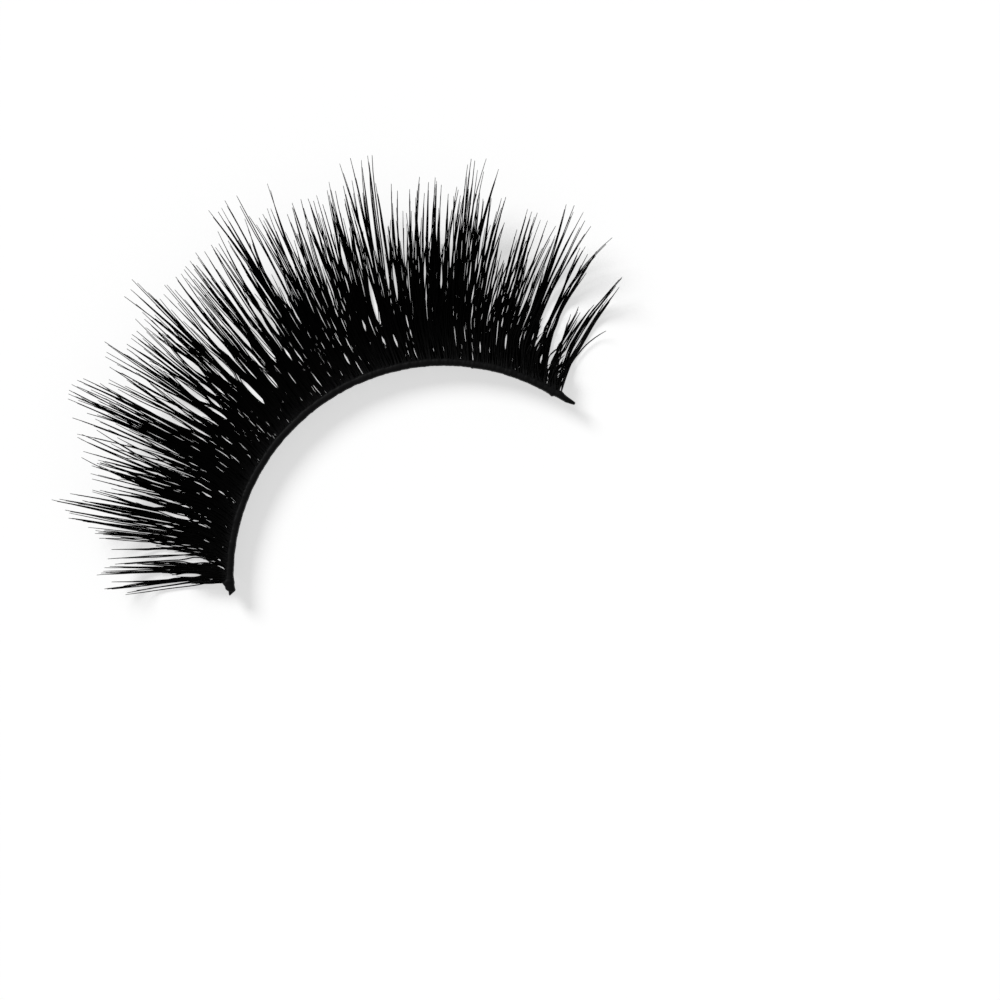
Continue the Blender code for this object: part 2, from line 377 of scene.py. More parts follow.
# Each row is one tip or lock that shows in the fan. tipAt and tipRadius place its tip, baseAt
# is the station where its hairs leave the dense part, and hairs is how many run up to it.
lashTips = (
    (3.5, 17.6, 3.4, 4), (1.8, 22.1, 3.5, 1), (2.1, 22.0, 3.9, 2), (2.9, 23.5, 4.8, 7),
    (4.1, 23.0, 4.6, 3), (5.4, 24.0, 5.8, 4), (5.7, 23.7, 6.3, 8), (6.6, 23.5, 7.1, 4),
    (7.2, 22.8, 8.8, 2), (7.4, 21.3, 7.4, 6), (7.9, 23.3, 9.9, 2), (9.6, 23.1, 10.9, 3),
    (11.4, 24.0, 12.2, 3), (12.0, 24.3, 12.6, 3), (12.5, 24.3, 12.7, 7), (12.9, 24.8, 13.2, 2),
    (13.9, 26.2, 13.8, 7), (14.6, 26.2, 14.4, 1), (15.0, 26.5, 15.0, 5), (16.1, 27.5, 15.6, 5),
    (16.4, 27.0, 16.6, 4), (16.9, 25.5, 16.9, 9), (17.5, 26.4, 17.9, 4), (18.5, 25.0, 17.9, 2),
    (18.9, 25.0, 18.6, 2), (19.1, 24.5, 19.2, 4), (19.8, 23.8, 19.9, 3), (20.7, 25.2, 20.6, 2),
    (21.3, 25.4, 21.8, 3), (23.3, 26.3, 20.9, 2), (22.4, 25.5, 22.7, 5), (22.0, 23.4, 22.1, 5),
    (23.2, 25.2, 23.6, 6), (24.2, 26.3, 24.4, 3), (23.6, 25.2, 24.6, 4), (25.8, 27.0, 24.8, 5),
    (26.4, 19.4, 26.2, 5), (26.3, 27.1, 28.2, 2), (26.5, 26.8, 25.2, 3), (27.9, 26.0, 25.6, 2),
    (28.1, 27.8, 28.9, 4), (29.4, 26.4, 29.2, 4), (30.1, 26.4, 30.5, 5), (30.4, 28.6, 30.8, 4),
    (31.1, 28.7, 31.8, 5), (31.5, 28.8, 31.2, 6), (31.3, 24.2, 31.3, 5), (32.4, 28.8, 32.4, 5),
    (32.0, 26.8, 32.0, 8), (32.9, 27.5, 32.9, 5), (32.9, 24.2, 32.9, 5), (33.2, 28.6, 34.0, 9),
    (33.8, 28.3, 34.3, 3), (33.8, 24.5, 33.8, 4), (35.0, 26.7, 36.0, 3), (35.5, 26.8, 36.4, 2),
    (37.1, 27.2, 36.3, 4), (37.1, 26.8, 37.8, 4), (37.9, 27.8, 39.2, 3), (38.7, 27.9, 39.4, 2),
    (39.7, 28.4, 39.8, 6), (40.7, 26.9, 40.4, 6), (41.0, 25.0, 40.9, 5), (41.3, 27.1, 42.0, 5),
    (42.3, 27.1, 42.2, 2), (43.0, 27.2, 42.7, 4), (43.6, 27.1, 43.2, 3), (44.9, 27.7, 43.7, 2),
    (45.8, 27.2, 44.9, 4), (44.9, 26.8, 45.6, 3), (46.4, 27.6, 45.9, 3), (46.4, 29.2, 47.6, 3),
    (47.1, 26.9, 46.5, 3), (47.5, 29.2, 47.5, 4), (48.8, 29.6, 48.0, 5), (48.9, 28.2, 48.2, 3),
    (47.7, 26.6, 47.7, 9), (49.0, 23.3, 48.8, 4), (49.4, 25.2, 49.2, 3), (50.3, 27.4, 50.1, 4),
    (51.2, 27.8, 50.2, 2), (51.6, 27.7, 50.4, 2), (51.9, 27.1, 51.2, 3), (53.1, 27.7, 52.0, 6),
    (54.1, 27.6, 52.5, 3), (53.4, 24.8, 53.2, 4), (54.2, 27.2, 54.3, 3), (54.9, 27.7, 54.1, 3),
    (55.2, 26.2, 55.0, 3), (55.4, 27.8, 55.0, 3), (56.2, 27.9, 55.5, 6), (56.5, 27.4, 56.6, 4),
    (57.5, 28.1, 56.5, 5), (57.8, 25.6, 57.9, 3), (58.6, 27.8, 57.6, 4), (59.9, 27.9, 59.0, 6),
    (60.2, 27.6, 60.0, 4), (60.9, 27.7, 60.2, 2), (61.8, 28.4, 60.3, 2), (62.2, 27.5, 61.8, 5),
    (62.5, 24.6, 62.5, 7), (62.3, 29.9, 63.4, 5), (63.3, 29.5, 63.3, 3), (63.9, 29.6, 63.5, 3),
    (63.4, 28.3, 63.4, 9), (64.6, 23.0, 64.5, 6), (64.7, 29.9, 64.1, 5), (65.9, 28.2, 64.2, 3),
    (66.4, 29.8, 65.9, 4), (66.7, 28.2, 67.2, 3), (66.7, 22.5, 66.8, 5), (67.7, 27.8, 67.6, 4),
    (68.1, 27.5, 68.0, 3), (68.5, 27.9, 68.5, 5), (69.3, 28.1, 68.2, 2), (69.8, 28.0, 69.1, 4),
    (70.9, 29.6, 69.0, 5), (70.1, 26.8, 69.9, 3), (71.6, 27.2, 71.0, 4), (72.7, 27.5, 71.0, 3),
    (72.8, 27.8, 72.0, 5), (74.2, 27.8, 72.5, 2), (74.1, 27.2, 73.8, 5), (74.8, 23.6, 74.8, 5),
    (75.3, 27.3, 74.3, 6), (75.5, 23.0, 75.6, 4), (75.9, 27.4, 74.8, 3), (76.5, 27.7, 75.6, 4),
    (76.9, 27.0, 76.2, 4), (77.3, 22.4, 77.3, 5), (78.3, 27.8, 76.6, 6), (78.7, 28.3, 77.6, 4),
    (79.4, 27.6, 78.6, 4), (80.2, 26.9, 79.4, 5), (80.8, 29.3, 81.8, 4), (80.6, 27.8, 80.0, 4),
    (80.9, 26.2, 80.8, 5), (81.9, 28.0, 81.2, 3), (82.5, 29.5, 82.2, 4), (82.7, 21.6, 82.7, 4),
    (83.8, 29.2, 82.3, 5), (84.8, 29.4, 83.2, 5), (85.4, 29.4, 84.0, 1), (85.2, 27.5, 84.9, 3),
    (85.8, 24.5, 85.5, 3), (87.4, 27.3, 86.0, 4), (88.0, 26.8, 86.5, 4), (87.4, 24.8, 87.2, 5),
    (89.0, 24.5, 88.0, 3), (89.3, 24.4, 88.9, 6), (89.6, 24.0, 89.5, 4), (90.0, 26.8, 88.8, 5),
    (91.5, 27.6, 89.4, 4), (90.8, 26.7, 89.9, 4), (92.0, 26.5, 90.6, 4), (92.2, 23.8, 92.2, 5),
    (92.8, 27.2, 91.6, 4), (93.3, 24.6, 93.3, 5), (93.8, 27.5, 92.8, 8), (94.6, 27.0, 93.5, 3),
    (94.2, 24.6, 94.0, 5), (94.6, 23.0, 94.5, 5), (95.6, 26.4, 94.9, 4), (95.9, 23.6, 95.7, 5),
    (96.9, 26.9, 94.9, 5), (97.6, 26.3, 96.0, 4), (98.1, 26.6, 96.6, 3), (98.3, 28.4, 97.8, 3),
    (98.7, 28.8, 98.2, 3), (99.2, 28.7, 98.5, 2), (99.7, 28.1, 98.8, 2), (100.7, 28.9, 98.4, 3),
    (100.3, 26.6, 100.0, 5), (101.0, 26.2, 100.2, 2), (102.6, 28.3, 100.0, 6),
    (102.1, 26.8, 101.4, 4), (103.6, 26.4, 101.8, 4), (104.2, 26.5, 102.6, 6),
    (103.2, 23.5, 102.8, 5), (104.2, 23.0, 103.9, 4), (105.0, 22.9, 104.2, 4),
    (105.8, 22.3, 104.9, 4), (106.8, 24.5, 106.0, 3), (107.8, 26.0, 106.8, 4),
    (108.5, 25.9, 107.8, 4), (109.2, 25.9, 108.6, 5), (110.2, 25.5, 109.0, 2),
    (111.2, 25.6, 110.2, 2), (109.6, 23.5, 109.3, 5), (112.6, 25.4, 110.4, 2),
    (113.1, 24.8, 111.8, 5), (113.0, 22.6, 112.9, 3), (113.2, 27.0, 113.8, 6),
    (114.4, 27.1, 114.0, 5), (115.8, 26.9, 114.4, 3), (115.8, 24.3, 114.8, 2),
    (116.5, 26.4, 115.4, 4), (117.7, 26.2, 115.4, 3), (118.1, 24.8, 117.2, 4),
    (117.4, 24.6, 117.1, 3), (118.9, 24.4, 118.4, 2), (121.4, 26.1, 117.5, 3),
    (120.1, 24.8, 118.7, 10), (120.1, 23.2, 119.0, 2), (120.3, 20.2, 121.3, 3),
    (121.5, 20.9, 121.6, 6), (122.2, 20.6, 121.8, 2), (123.5, 21.1, 122.3, 3),
    (123.8, 21.5, 122.9, 2), (125.8, 24.1, 123.9, 9), (126.1, 23.4, 125.1, 4),
    (125.4, 22.3, 124.9, 3), (128.2, 20.4, 125.8, 1),
)

# Light slits where the lashes part: station, radius, half width in degrees and half length in
# millimetres.
partings = (
    (4.2, 16.1, 0.10, 0.40), (5.0, 20.3, 0.30, 2.4), (5.3, 17.6, 0.28, 0.9), (8.6, 17.1, 0.55, 1.0),
    (9.3, 15.6, 0.25, 0.30), (15.2, 19.5, 0.15, 0.40), (17.2, 17.2, 0.35, 0.55),
    (17.8, 18.6, 0.60, 2.0), (18.8, 21.6, 0.30, 1.8), (20.1, 18.5, 0.20, 0.50),
    (22.4, 16.7, 0.20, 0.35), (22.9, 19.3, 0.15, 0.60), (24.0, 17.4, 0.25, 0.6),
    (24.7, 20.9, 0.16, 1.1), (25.5, 22.3, 0.12, 1.2), (27.15, 22.2, 0.20, 1.4),
    (29.0, 18.9, 0.12, 1.0), (34.9, 18.5, 0.22, 0.9), (34.4, 16.8, 0.15, 0.4),
    (35.0, 21.8, 0.25, 1.7), (38.6, 21.2, 0.22, 1.8), (40.75, 19.3, 0.26, 1.0),
    (41.2, 21.2, 0.40, 2.3), (42.15, 20.0, 0.25, 1.3), (43.3, 20.8, 0.20, 1.0),
    (44.6, 20.4, 0.16, 0.8), (45.0, 22.9, 0.34, 1.6), (45.4, 17.6, 0.15, 0.35),
    (46.9, 21.1, 0.20, 1.8), (49.0, 18.5, 0.50, 1.7), (48.7, 21.0, 0.36, 1.4),
    (50.9, 22.6, 0.30, 1.8), (53.6, 18.2, 0.38, 1.2), (53.8, 20.2, 0.22, 0.9),
    (54.9, 21.7, 0.20, 2.2), (57.3, 20.4, 0.42, 2.3), (59.4, 21.9, 0.18, 2.0),
    (59.8, 18.8, 0.15, 0.5), (60.7, 21.5, 0.22, 2.4), (65.0, 24.2, 0.34, 2.6),
    (68.75, 20.8, 0.10, 1.5), (70.8, 16.5, 0.22, 0.6), (72.7, 17.3, 0.18, 0.7),
    (77.5, 23.1, 0.22, 1.4), (77.2, 18.3, 0.22, 0.6), (77.2, 16.9, 0.28, 0.45),
    (79.95, 23.1, 0.14, 1.2), (80.6, 19.1, 0.44, 2.4), (80.5, 16.8, 0.30, 0.45),
    (83.2, 16.7, 0.25, 0.6), (84.2, 21.2, 0.18, 1.3), (85.45, 20.8, 0.20, 1.8),
    (94.4, 20.4, 0.12, 1.0), (95.4, 19.7, 0.12, 1.9), (109.5, 16.9, 0.20, 1.0),
    (113.4, 17.5, 0.05, 0.40), (116.6, 17.6, 0.28, 1.7), (116.4, 19.9, 0.38, 2.8),
    (118.9, 16.5, 0.20, 0.60), (120.9, 16.9, 0.34, 1.5), (120.35, 18.4, 0.42, 1.7),
    (120.0, 20.6, 0.52, 2.2), (122.4, 17.9, 0.14, 0.9), (123.3, 17.1, 0.16, 0.9),
    (124.5, 16.0, 0.12, 0.40), (124.7, 19.2, 0.28, 2.4),
)

lashEdges = {"first": 3.15, "last": 127.4}  # stations between which hairs leave the band
fullLean = 3.4  # hairs at least this long lean fully at their roots

# How the lashes are combed along the strip. The root and the tip stand off the base, where a
# hair stands upright, by these degrees. The base lies at this share of the hair's reach, and
# the bend is the power with which the hair turns to its tip: below 1 at once, above 1 late.
combRows = (
    # station, root, tip, base share, bend
    (3.0, -0.3, -0.9, 0.22, 0.75),
    (8.0, -2.0, -0.8, 0.24, 0.95),
    (14.0, -3.0, -0.1, 0.32, 1.3),
    (26.0, -2.9, 0.0, 0.38, 1.4),
    (40.0, -2.1, 0.1, 0.38, 1.4),
    (50.0, -1.2, 0.2, 0.38, 1.4),
    (57.0, -0.1, 0.3, 0.38, 1.4),
    (63.0, 1.1, 0.5, 0.38, 1.4),
    (80.0, 1.6, 1.0, 0.38, 1.4),
    (102.0, 1.8, 1.4, 0.36, 1.4),
    (113.0, 2.2, 1.2, 0.34, 1.5),
    (120.0, 3.1, 1.0, 0.38, 1.6),
    (124.0, 2.6, 1.2, 0.36, 1.8),
    (127.0, 1.6, 1.2, 0.26, 2.2),
)


def alongTable(table, station, column=1):
    for before, after in zip(table, table[1:]):
        if station <= after[0]:
            share = max(0.0, station - before[0]) / (after[0] - before[0])
            return before[column] + (after[column] - before[column]) * share
    return table[-1][column]


def rootLean(station):
    return alongTable(combRows, station, 1)


def tipLean(station):
    return alongTable(combRows, station, 2)


def leanShare(tipRadius):
    return min(1.0, (tipRadius - stripArc["outerRadius"]) / fullLean)


# Where the fan stops being closed: station and radius. Filling hairs end a little beyond it.
closedLimits = (
    (3.4, 17.3), (5.0, 18.0), (7.0, 20.8), (8.5, 16.0), (10.0, 16.8), (11.5, 20.0), (14.0, 20.3),
    (15.4, 19.6), (17.0, 20.2), (20.0, 19.2), (23.0, 21.8), (25.0, 20.4), (26.0, 21.5),
    (28.0, 21.0), (30.0, 22.5), (32.0, 24.5), (34.0, 23.0), (35.0, 20.5), (37.0, 22.0),
    (38.5, 20.5), (40.0, 22.5), (41.3, 19.8), (43.0, 22.0), (45.0, 21.5), (47.7, 24.0),
    (49.0, 20.3), (51.0, 19.6), (53.0, 19.7), (55.0, 19.5), (56.5, 22.0), (57.2, 19.0),
    (58.5, 21.2), (60.0, 20.2), (63.0, 23.5), (64.8, 21.3), (67.0, 22.5), (70.0, 22.0),
    (73.0, 21.5), (75.0, 24.0), (77.0, 23.5), (79.0, 23.0), (80.6, 19.5), (83.0, 22.0),
    (85.0, 20.2), (87.0, 21.8), (88.3, 21.2), (91.0, 22.0), (94.0, 23.0), (98.0, 23.3),
    (102.0, 22.0), (104.0, 20.3), (105.5, 20.0), (107.0, 21.0), (109.0, 22.0), (110.5, 19.3),
    (112.0, 19.4), (113.3, 21.0), (114.3, 20.4), (116.2, 17.0), (117.6, 18.4), (118.6, 19.3),
    (119.4, 16.2), (120.0, 15.6), (121.0, 15.5), (121.8, 18.2), (123.0, 16.5), (124.0, 17.4),
    (124.7, 16.4), (126.0, 16.4),
)

lengthStep, leanStep = 2.4, 1.7  # radians from one lock to the next: two waves out of step

fillRule = {
    "locks": 300,
    "hairs": 2,
    "firstAt": 3.8,
    "span": 121.8,
    "gain": 2.2,  # how far beyond the closed part the hairs end
    "unevenness": 1.6,
    "crossing": 1.5,  # degrees
    "wholeReach": 9.0,  # hairs this long lean and cross fully
    "reachPower": 1.3,
    "calmStart": (4.0, 14.0),  # the waves start at this station and are full this far on
    "calmEnd": (126.0, 22.0),  # they end at this station and fade over these degrees
}


def fillTips():
    # Evenly spaced hairs between the named tips. They lean as the fan does and cross a little.
    rows = []
    (first, firstRun), (last, lastRun) = fillRule["calmStart"], fillRule["calmEnd"]
    for i in range(fillRule["locks"]):
        baseAt = fillRule["firstAt"] + fillRule["span"] * (i + 0.5) / fillRule["locks"]
        wild = max(0.0, min(1.0, (baseAt - first) / firstRun, (last - baseAt) / lastRun))
        tipRadius = alongTable(closedLimits, baseAt)
        tipRadius += wild * (fillRule["gain"] + fillRule["unevenness"] * math.sin(i * lengthStep))
        reach = min(1.0, (tipRadius - stripArc["outerRadius"]) / fillRule["wholeReach"])
        lean = tipLean(baseAt) + wild * fillRule["crossing"] * math.sin(i * leanStep)
        tipAt = baseAt + lean * reach ** fillRule["reachPower"]
        rows.append((tipAt, tipRadius, baseAt, fillRule["hairs"]))
    return tuple(rows)


shortRule = {
    "locks": 170,
    "hairs": 4,
    "endMargins": (0.6, 2.0),
    "endRadius": 18.4,
    "middleGain": 3.6,
    "unevenness": 0.9,
    "leanPerDegree": 0.013,
    "leanUnevenness": 0.5,
    "uprightAt": 42.0,
    "overClosed": 0.4,
}


def shortTips():
    # Evenly spaced locks whose lengths and leans wave by two out-of-step sines.
    rows = []
    firstMargin, lastMargin = shortRule["endMargins"]
    first, last = lashEdges["first"] + firstMargin, lashEdges["last"] - lastMargin
    for i in range(shortRule["locks"]):
        share = (i + 0.5) / shortRule["locks"]
        baseAt = first + (last - first) * share
        tipRadius = shortRule["endRadius"] + shortRule["middleGain"] * math.sin(math.pi * share) ** 0.5
        tipRadius += shortRule["unevenness"] * math.sin(i * lengthStep)
        lean = shortRule["leanPerDegree"] * (baseAt - shortRule["uprightAt"])
        lean += shortRule["leanUnevenness"] * math.sin(i * leanStep)
        longest = alongTable(closedLimits, baseAt + lean) + shortRule["overClosed"]
        tipRadius = min(tipRadius, longest)
        rows.append((baseAt + lean * leanShare(tipRadius), tipRadius, baseAt, shortRule["hairs"]))
    return rows


# Between the partings the closed part is sprinkled with small flecks of light.
fleckRule = {
    "slots": 900,
    "firstAt": 4.5,
    "span": 121.0,
    "radii": (15.4, 21.2),
    "outward": 0.7,  # below 1 more flecks lie far out
    "halfWidths": (0.0, 0.10),
    "halfLengths": (0.5, 1.6),
    "smallNearBand": (0.30, 0.17),  # share of full size at the first radius, and its rise per mm
    "clearance": 0.3,
}

# The share of the slots that get a fleck: station and share.
fleckShares = (
    (4.0, 0.9), (26.0, 0.9), (31.0, 0.5), (37.0, 0.9), (60.0, 0.9), (64.0, 0.5), (76.0, 0.8),
    (83.0, 0.6), (86.0, 0.15), (102.0, 0.2), (108.0, 0.8), (124.0, 0.9),
)

# A hair heeds the slit that is nearest on a map on which a degree is this many millimetres
# wide and radii are squeezed, so that slits lie closely side by side and yet are long.
degreeLength, radiusSqueeze = 0.30, 0.5

slitRule = {
    "hairRoom": 38.0,  # makes room for the hairs' own radius: degrees, at a radius of 1 mm
    "strays": 0.93,  # hairs that draw more than this keep their place in a slit
    "roundness": 0.8,
    "uprightRadius": 19.5,  # slits nearer to the band lean with the roots, others with the tips
    "leanDepth": 4.5,  # millimetres further in they lean by the whole share
    "rootShare": -0.33,
    "tipShare": 0.2,
}


def onSlitMap(station, radius):
    return station * degreeLength, radius * radiusSqueeze


def goldenShare(i, start):
    return (start + i * 0.6180339887) % 1.0


def spread(limits, share):
    return limits[0] + (limits[1] - limits[0]) * share


def isFree(station, radius):
    place = Vector(onSlitMap(station, radius))
    return all(
        (place - Vector(onSlitMap(at, middle))).length > halfLength * radiusSqueeze + fleckRule["clearance"]
        for at, middle, _, halfLength in partings
    )


def lightFlecks():
    rows = []
    least, rise = fleckRule["smallNearBand"]
    for i in range(fleckRule["slots"]):
        station = fleckRule["firstAt"] + fleckRule["span"] * (i + 0.5) / fleckRule["slots"]
        radius = spread(fleckRule["radii"], goldenShare(i, 0.31) ** fleckRule["outward"])
        if isFree(station, radius) and goldenShare(i * 7, 0.1) < alongTable(fleckShares, station):
            size = goldenShare(i * 3, 0.77)
            full = min(1.0, least + rise * (radius - fleckRule["radii"][0]))
            halfWidth = spread(fleckRule["halfWidths"], size) * full
            halfLength = spread(fleckRule["halfLengths"], size) * full
            rows.append((station, radius, halfWidth, halfLength))
    return tuple(rows)


def slitSlope(station, radius):
    # Degrees to a millimetre that the hairs lean where a slit lies.
    inward = slitRule["uprightRadius"] - radius
    if inward > 0:
        return slitRule["rootShare"] * rootLean(station) * math.sqrt(inward / slitRule["leanDepth"])
    return slitRule["tipShare"] * tipLean(station)


tipTrim = 0.13  # raised tips are nearer to the camera and look this much longer


def tipPoint(tipAt, tipRadius, baseAt, hairs):
    return {
        "tipAt": tipAt, "tipRadius": tipRadius - tipTrim, "baseAt": baseAt, "hairs": hairs,
        "rootAt": baseAt + rootLean(baseAt) * leanShare(tipRadius),
        "baseShare": alongTable(combRows, baseAt, 3),
        "bend": alongTable(combRows, baseAt, 4),
    }


def slitPoint(station, radius, halfWidth, halfLength):
    return {
        "tipAt": station, "tipRadius": radius, "halfWidth": halfWidth, "halfLength": halfLength,
        "slope": slitSlope(station, radius),
    }


def lashGuide(name, rows):
    # One vertex for each tip and each slit, with what the tree needs to know as attributes.
    points = [tipPoint(*row) for row in rows] + [slitPoint(*row) for row in partings + lightFlecks()]
    mesh = bpy.data.meshes.new(name)
    mesh.vertices.add(len(points))
    for key in (
        "tipAt", "tipRadius", "baseAt", "rootAt", "baseShare", "bend",
        "halfWidth", "halfLength", "slope", "hairs",
    ):
        kind = "INT" if key == "hairs" else "FLOAT"
        values = [point.get(key, 0) for point in points]
        mesh.attributes.new(key, kind, "POINT").data.foreach_set("value", values)
    return mesh


# Heights are above the floor. Glue Reach, Belly Start and Belly End are measured from the band.
longLashes = {
    "Root Radius": 14.95,
    "Glue Reach": 0.40,
    "Base Rise": 1.0,
    "Root Spread": 1.35,
    "Base Spread": 0.65,
    "Tip Spread": 0.09,
    "Length Fall": 0.26,
    "Hair Radius": 0.057,
    "Tip Width": 0.42,
    "Waviness": 0.15,
    "Tip Turn": 0.35,
    "Root Height": 1.24,
    "Belly Height": 0.17,
    "Belly Start": 3.10,
    "Belly End": 4.30,
    "Curl": 0.49,
    "Bed Depth": 0.11,
    "Lift Scatter": 0.25,
    "Parting Room": 3.0,
    "Slit Skew": 0.35,  # how much wider a slit is near the band than at its far end
    "Points": 18,
    "Root Detail": 1.3,
    "Seed": 11,
}

shortLashes = {
    **longLashes,
    "Base Rise": 1.4,
    "Root Spread": 1.5,
    "Base Spread": 0.9,
    "Tip Spread": 0.22,
    "Length Fall": 0.42,
    "Hair Radius": 0.050,
    "Root Height": 1.76,
    "Belly Height": 1.32,
    "Belly Start": 2.20,
    "Belly End": 2.60,
    "Curl": 0.55,
    "Bed Depth": 0.07,
    "Lift Scatter": 0.2,
    "Points": 14,
    "Root Detail": 1.0,
    "Seed": 29,
}

# How a hair is drawn, in both layers.
hairShape = {
    "fall": (0.75, 1.2),  # how evenly the hairs of one tip get shorter
    "fallPower": 1.3,
    "rootShares": (0.5, 0.8),  # roots spread with the lock and by themselves
    "rootPower": 1.5,
    "bowShare": 0.25,
    "edgeRoom": (0.2, 1.2),  # degrees by which hairs stand back from the ends of the band
    "girth": (0.82, 1.08),
    "sides": 3,
    "waveSteps": (2.2, 93.0, 41.0),  # along the hair, and two that tell the hairs apart
    "waveReach": 2.0,
    "turnPowers": (5.0, 2.0),
    "liftPower": 3.0,
    "taperPower": 4.0,
    "floorRoom": 0.01,
}

# A hair's random numbers go by the station of its tip and its place in the lock, so that they
# stay with it when rows are added: steps to a degree, and room for hairs at each step.
keySteps, keyRoom = 100.0, 40.0


def hairStation(tree, size, radius):
    # The path of a hair seen from above: it leans at the root, stands at its base and bends
    # towards the tip, the more the further it has to go.
    tipRadius, rootRadius = attribute(tree, "tipRadius"), size["Root Radius"]
    baseRadius = rootRadius + (tipRadius - rootRadius) * attribute(tree, "baseShare") * size["Base Rise"]
    out = ((radius - baseRadius) / (tipRadius - baseRadius)).limit(0.0, 1.0)
    back = ((baseRadius - radius) / (baseRadius - rootRadius)).limit(0.0, 1.0)
    baseS = attribute(tree, "baseS")
    tipShift, rootShift = attribute(tree, "tipS") - baseS, attribute(tree, "rootS") - baseS
    power = attribute(tree, "bend") + attribute(tree, "bow") * hairShape["bowShare"]
    return baseS + tipShift * out ** power + rootShift * back ** hairShape["rootPower"]


def partLashes(tree, geometry, slits, size):
    # Pushes each hair off the slit that is nearest to it, always to the side where it passes.
    station, radius, height = positions(tree)
    place = joinVector(tree, *onSlitMap(station, radius), 0.0)
    nearest = addNode(tree, "GeometryNodeSampleNearest", {
        "Geometry": slits, "Sample Position": place,
    }, domain="POINT").outputs["Index"]

    def read(name):
        node = addNode(tree, "GeometryNodeSampleIndex", {
            "Geometry": slits, "Value": attribute(tree, name), "Index": nearest,
        }, data_type="FLOAT", domain="POINT")
        return Field(tree, node.outputs["Value"])

    slitAt, slitRadius, halfLength = read("tipAt"), read("tipRadius"), read("halfLength")
    halfWidth = read("halfWidth") + size["Hair Radius"] * slitRule["hairRoom"] / radius
    along = (radius - slitRadius) / halfLength
    stray = calc(tree, "ABSOLUTE", attribute(tree, "stray"))
    keepsPlace = calc(tree, "GREATER_THAN", stray, slitRule["strays"])
    outline = (1.0 - along * along).limit(0.0, 1.0) ** slitRule["roundness"]
    opening = outline * halfWidth * (1.0 - keepsPlace) * (1.0 - along * size["Slit Skew"])
    middle = slitAt + read("slope") * (radius - slitRadius)
    distance = calc(tree, "ABSOLUTE", station - middle)
    near = (1.0 - distance / (halfWidth * size["Parting Room"])).limit(0.0, 1.0)
    passes = calc(tree, "SIGN", hairStation(tree, size, slitRadius) - slitAt)
    return moveTo(tree, geometry, station + passes * opening * near, radius, height)


def slitMap(tree, points, hairs):
    # The slits alone, each at its place on the map.
    slits = addNode(tree, "GeometryNodeSeparateGeometry", {
        "Geometry": points, "Selection": calc(tree, "LESS_THAN", hairs, 0.5),
    }, domain="POINT").outputs["Selection"]
    place = onSlitMap(attribute(tree, "tipAt"), attribute(tree, "tipRadius"))
    return moveTo(tree, slits, *place, 0.0)


def drawHairs(tree, points, hairs, size):
    # Every tip gets its hairs. The first runs all the way and the rest end ever shorter.
    copies = addNode(tree, "GeometryNodeDuplicateElements", {
        "Geometry": points, "Amount": hairs,
    }, domain="POINT")
    strands = copies.outputs["Geometry"]
    place = Field(tree, copies.outputs["Duplicate Index"])
    key = calc(tree, "FLOOR", attribute(tree, "tipAt") * keySteps) * keyRoom + place

    def draw(low, high, step):
        return randomField(tree, low, high, size["Seed"] + step, key)

    rest = 1.0 - calc(tree, "LESS_THAN", place, 0.5)
    fall = (place / hairs) ** hairShape["fallPower"] * draw(*hairShape["fall"], 0)
    across = (draw(-1.0, 1.0, 1) + draw(-1.0, 1.0, 2)) * 0.5 * rest
    withLock, alone = hairShape["rootShares"]
    tipS = attribute(tree, "tipAt") + across * size["Tip Spread"]
    baseS = attribute(tree, "baseAt") + across * size["Base Spread"]
    rootSpread = (across * withLock + draw(-1.0, 1.0, 3) * alone) * size["Root Spread"]
    rootS = attribute(tree, "rootAt") + rootSpread
    firstRoom, lastRoom = hairShape["edgeRoom"]
    for name, value in {
        "hairShare": 1.0 - fall * size["Length Fall"] * rest,
        "tipS": tipS,
        "baseS": baseS.limit(lashEdges["first"] + firstRoom, lashEdges["last"] - lastRoom),
        "rootS": rootS.limit(lashEdges["first"], lashEdges["last"]),
        "level": draw(-1.0, 1.0, 4),
        "lift": draw(-1.0, 1.0, 5),
        "hairTint": draw(0.0, 1.0, 6),
        "girth": draw(*hairShape["girth"], 7),
        "bow": draw(-1.0, 1.0, 8),
        "stray": draw(-1.0, 1.0, 9),
        "turn": draw(-1.0, 1.0, 10),
    }.items():
        strands = store(tree, strands, name, value)

    line = addNode(tree, "GeometryNodeCurvePrimitiveLine", {"End": (0.0, 1.0, 0.0)})
    straight = addNode(tree, "GeometryNodeResampleCurve", {
        "Curve": line.outputs["Curve"], "Count": size["Points"],
    })
    placed = addNode(tree, "GeometryNodeInstanceOnPoints", {
        "Points": strands, "Instance": straight.outputs["Curve"],
    })
    return addNode(tree, "GeometryNodeRealizeInstances", {
        "Geometry": placed.outputs["Instances"],
    }).outputs["Geometry"]


def waveAndTurn(tree, size, along, radius):
    # Degrees by which a hair wavers and its end turns aside.
    alongStep, tintStep, liftStep = hairShape["waveSteps"]
    tint, lift = attribute(tree, "hairTint"), attribute(tree, "lift")
    place = joinVector(tree, along * alongStep, tint * tintStep, lift * liftStep)
    wave = (noise(tree, place, 1.0, 1.0) - 0.5) * size["Waviness"] * along
    late, early = hairShape["turnPowers"]
    turn = attribute(tree, "turn") * size["Tip Turn"] * (along ** late - along ** early)
    return wave * (math.degrees(1.0) * hairShape["waveReach"]) / radius + turn


